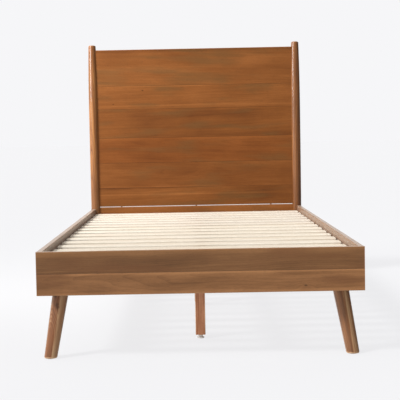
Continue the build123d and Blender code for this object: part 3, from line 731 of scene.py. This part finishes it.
def add_cutter(solid, points, kind):
    """The body that cuts the recess in one fastener's head."""
    head, inward, radius = head_of(points)
    side = inward.orthogonal().normalized()
    up = inward.cross(side)
    taper = CROSS_TAPER if kind == "cross" else 1.0
    loops = []
    for share, depth in ((1.0, -RECESS_LEAD), (taper, RECESS_DEPTH)):
        loops.append([head + (side * x + up * y) * share + inward * depth
                      for x, y in recess_outline(kind, radius)])
    add_loops(solid, loops)


def difference(mesh, cutters):
    """One mesh less another."""
    block, tool = add_object("block", mesh), add_object("tool", cutters)
    cut = block.modifiers.new("recess", "BOOLEAN")
    cut.operation, cut.solver, cut.object = "DIFFERENCE", "EXACT", tool
    bpy.context.view_layer.update()
    shown = block.evaluated_get(bpy.context.evaluated_depsgraph_get())
    result = bpy.data.meshes.new_from_object(shown)
    for piece in (block, tool):
        bpy.data.objects.remove(piece)
    return result


def fasteners(node, kind):
    """The whole node again, every one of its fasteners with a driver's recess in its head."""
    mesh, found = welded(NODES[node].data)
    solid = bmesh.new()
    for points in found:
        add_cutter(solid, points, kind)
    new_piece(f"{node}_detailed", difference(mesh, mesh_of(solid, "cutters")), node)


def threaded_stem(node):
    """A leveller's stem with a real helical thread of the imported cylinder's outer diameter."""
    low, high = box_of(node)
    x, y = (low.x + high.x) / 2, (low.y + high.y) / 2
    root = (high.x - low.x) / 2 - THREAD_DEPTH
    turns = math.ceil((high.z - low.z) / THREAD_PITCH) + 2
    solid = bmesh.new()
    rows = []
    for step in range(turns * THREAD_STEPS + 1):
        angle = math.tau * step / THREAD_STEPS
        base = low.z + (step / THREAD_STEPS - 2) * THREAD_PITCH
        row = []
        for out, up in THREAD_TOOTH:
            radius = root + out * THREAD_DEPTH
            row.append(solid.verts.new((x + radius * math.cos(angle), y + radius * math.sin(angle),
                                        base + up * THREAD_PITCH)))
        rows.append(row)
    for step in range(len(rows) - 1):
        this, after = rows[step], rows[step + 1]
        for j in range(len(THREAD_TOOTH) - 1):
            solid.faces.new((this[j], after[j], after[j + 1], this[j + 1]))
        if step + 1 + THREAD_STEPS < len(rows):
            above, above_after = rows[step + THREAD_STEPS], rows[step + 1 + THREAD_STEPS]
            solid.faces.new((this[-1], after[-1], above_after[0], above[0]))
    for height, normal in ((low.z, -Z), (high.z, Z)):
        everything = solid.verts[:] + solid.edges[:] + solid.faces[:]
        cut = bmesh.ops.bisect_plane(solid, geom=everything, plane_co=(x, y, height),
                                     plane_no=normal, clear_outer=True, dist=1e-7)
        rim = [part for part in cut["geom_cut"] if isinstance(part, bmesh.types.BMEdge)]
        bmesh.ops.edgeloop_fill(solid, edges=rim)
    name = f"{node}_threaded"
    new_piece(name, mesh_of(solid, name), node)


def ribbed_pad(node):
    """A leveller's moulded foot: a fluted flange with a bevelled sole, and a fluted hub."""
    low, high = box_of(node)
    x, y = (low.x + high.x) / 2, (low.y + high.y) / 2
    flange, height = (high.x - low.x) / 2, high.z - low.z
    hub, shoulder = flange * PAD_HUB, height * PAD_SHOULDER
    # (height, radius, depth of the flutes) from the sole up
    rings = ((0.0, flange - 1.6 * MM, 0.0),
             (0.5 * MM, flange - 0.7 * MM, 0.0),
             (1.3 * MM, flange, 0.7 * MM),
             (shoulder - 1.0 * MM, flange, 0.7 * MM),
             (shoulder - 0.3 * MM, flange - 0.6 * MM, 0.3 * MM),
             (shoulder, flange - 1.6 * MM, 0.0),
             (shoulder + 0.1 * MM, hub + 1.0 * MM, 0.0),
             (shoulder + 0.9 * MM, hub, 0.8 * MM),
             (height - 0.8 * MM, hub - 0.3 * MM, 0.8 * MM),
             (height, hub - 1.2 * MM, 0.0))
    loops = []
    for up, radius, cut in rings:
        flutes = FLANGE_FLUTES if radius > hub + 2 * MM else HUB_FLUTES
        loop = []
        for i in range(PAD_SEGMENTS):
            angle = math.tau * i / PAD_SEGMENTS
            here = radius - cut * (0.5 + 0.5 * math.cos(flutes * angle)) ** 2
            loop.append((x + here * math.cos(angle), y + here * math.sin(angle), low.z + up))
        loops.append(loop)
    solid = bmesh.new()
    add_loops(solid, loops)
    name = f"{node}_ribbed"
    new_piece(name, mesh_of(solid, name), node)


def fittings():
    """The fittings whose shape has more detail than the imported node's."""
    fasteners("slat_screws", "cross")
    fasteners("ledger_screws", "cross")
    fasteners("barrel_nuts", "slot")
    for place in ("front", "rear"):
        threaded_stem(f"leveller_stem_{place}")
        ribbed_pad(f"leveller_pad_{place}")


# ---------------------------------------------------------------- studio
BACKGROUND = (0.922, 0.922, 0.939)
WALL_LIGHT = 0.14           # from all round
LEFT_LIGHT = 0.82           # added from the bed's left
TOP_LIGHT = 0.34            # added from above
FRONT_LIGHT = 0.22          # added from beyond the foot
BACK_LIGHT = 0.90           # added from the backdrop behind the headboard
FLOOR_LIGHT = 0.42          # added from below, in place of the floor's own light
LIGHT_COLOUR = (1.0, 0.985, 0.96, 1.0)
FLOOR_SIDE = 160.0
FLOOR_ALBEDO = 0.137
FLOOR_GLOW = (0.750, 0.751, 0.770)
SUN_STRENGTH = 2.25
SUN_ELEVATION = math.radians(41)
SUN_SIDE = math.radians(60)         # round from the foot to the bed's left
SUN_WIDTH = math.radians(11)
SUN_DISTANCE = 5.0
SOFT_BOX_POWER = 16.0
SOFT_BOX_SIZE = (0.30, 1.30)
SOFT_BOX_SPREAD = math.radians(120)
SOFT_BOX_PLACE = (-1.60, 0.10, 1.60)
SOFT_BOX_TARGET = (0.0, cad_high.y, 0.90)
LENS = 95.7                         # millimetres, on a sensor SENSOR wide
SENSOR = 36.0
CAMERA_SHIFT = 0.05
CAMERA_PLACE = (-0.024, -4.337, 0.714)
CAMERA_TURN = (-0.61, -3.50, -1.115)    # degrees to the right, up, and of roll
CAMERA_END = 500.0                  # beyond the floor's far edge


def studio_world():
    """A pale backdrop; the light itself comes mostly from the left and from above."""
    world = bpy.data.worlds.new("studio")
    world.use_nodes = True
    world.node_tree.nodes.clear()
    tree = Tree(world.node_tree)
    direction = tree.new("ShaderNodeTexCoord").outputs["Generated"]
    x, y, z = tree.split(direction)
    light = tree.total((tree.step(x, 0.3, -0.85), LEFT_LIGHT),
                       (tree.step(z, 0.2, 0.95), TOP_LIGHT),
                       (tree.step(y, 0.1, -0.9), FRONT_LIGHT),
                       (tree.step(y, 0.6, 0.95), BACK_LIGHT),
                       (tree.step(z, 0.0, -0.5), FLOOR_LIGHT),
                       (1.0, WALL_LIGHT))
    seen = tree.new("ShaderNodeBackground", {"Color": (*BACKGROUND, 1.0)})
    lighting = tree.new("ShaderNodeBackground", {"Color": LIGHT_COLOUR, "Strength": light})
    to_camera = tree.new("ShaderNodeLightPath").outputs["Is Camera Ray"]
    both = {0: to_camera, 1: lighting.outputs[0], 2: seen.outputs[0]}
    both = tree.new("ShaderNodeMixShader", both)
    tree.new("ShaderNodeOutputWorld", {"Surface": both.outputs[0]})
    bpy.context.scene.world = world


def floor():
    """A plain pale floor that glows a little, so that it meets the backdrop without a line."""
    mesh = bpy.data.meshes.new("floor")
    half = FLOOR_SIDE / 2
    corners = [(-half, -half, 0), (half, -half, 0), (half, half, 0), (-half, half, 0)]
    mesh.from_pydata(corners, [], [(0, 1, 2, 3)])
    piece = add_object("floor", mesh)
    material, tree = blank_material("floor")
    matt = tree.new("ShaderNodeBsdfDiffuse", {"Color": (*(FLOOR_ALBEDO,) * 3, 1.0)})
    emission = tree.new("ShaderNodeEmission", {"Color": (*FLOOR_GLOW, 1.0)})
    both = tree.new("ShaderNodeAddShader", {0: matt.outputs[0], 1: emission.outputs[0]})
    tree.new("ShaderNodeOutputMaterial", {"Surface": both.outputs[0]})
    dress(piece, material)
    piece.visible_diffuse = False
    piece.visible_glossy = False


def aim(piece, place, target):
    """Stands a light at its place, facing its target."""
    piece.location = place
    piece.rotation_euler = (Vector(target) - Vector(place)).to_track_quat("-Z", "Y").to_euler()


def lights():
    """The key from the left of the foot, and a tall soft box beside the headboard."""
    key = bpy.data.lights.new("key", "SUN")
    key.energy = SUN_STRENGTH
    key.angle = SUN_WIDTH
    towards = Vector((-math.sin(SUN_SIDE) * math.cos(SUN_ELEVATION),
                      -math.cos(SUN_SIDE) * math.cos(SUN_ELEVATION), math.sin(SUN_ELEVATION)))
    box = bpy.data.lights.new("soft_box", "AREA")
    box.energy = SOFT_BOX_POWER
    box.shape = "RECTANGLE"
    box.size, box.size_y = SOFT_BOX_SIZE
    box.spread = SOFT_BOX_SPREAD
    for data, place, target in ((key, towards * SUN_DISTANCE, (0, 0, 0)),
                                (box, SOFT_BOX_PLACE, SOFT_BOX_TARGET)):
        piece = add_object(data.name, data)
        aim(piece, place, target)
        piece.visible_camera = False


def camera():
    """Seen from beyond the foot, from a little above the rails."""
    data = bpy.data.cameras.new("camera")
    data.lens = LENS
    data.sensor_width = SENSOR
    data.shift_x = CAMERA_SHIFT
    data.clip_end = CAMERA_END
    piece = add_object("camera", data)
    yaw, pitch, roll = (math.radians(angle) for angle in CAMERA_TURN)
    turn = Matrix.Rotation(-yaw, 3, "Z") @ Matrix.Rotation(math.pi / 2 + pitch, 3, "X")
    turn = turn @ Matrix.Rotation(roll, 3, "Z")
    piece.location = CAMERA_PLACE
    piece.rotation_euler = turn.to_euler()
    bpy.context.scene.camera = piece


dress_frame()
fittings()
studio_world()
floor()
lights()
camera()
bpy.context.scene.view_settings.view_transform = "Standard"
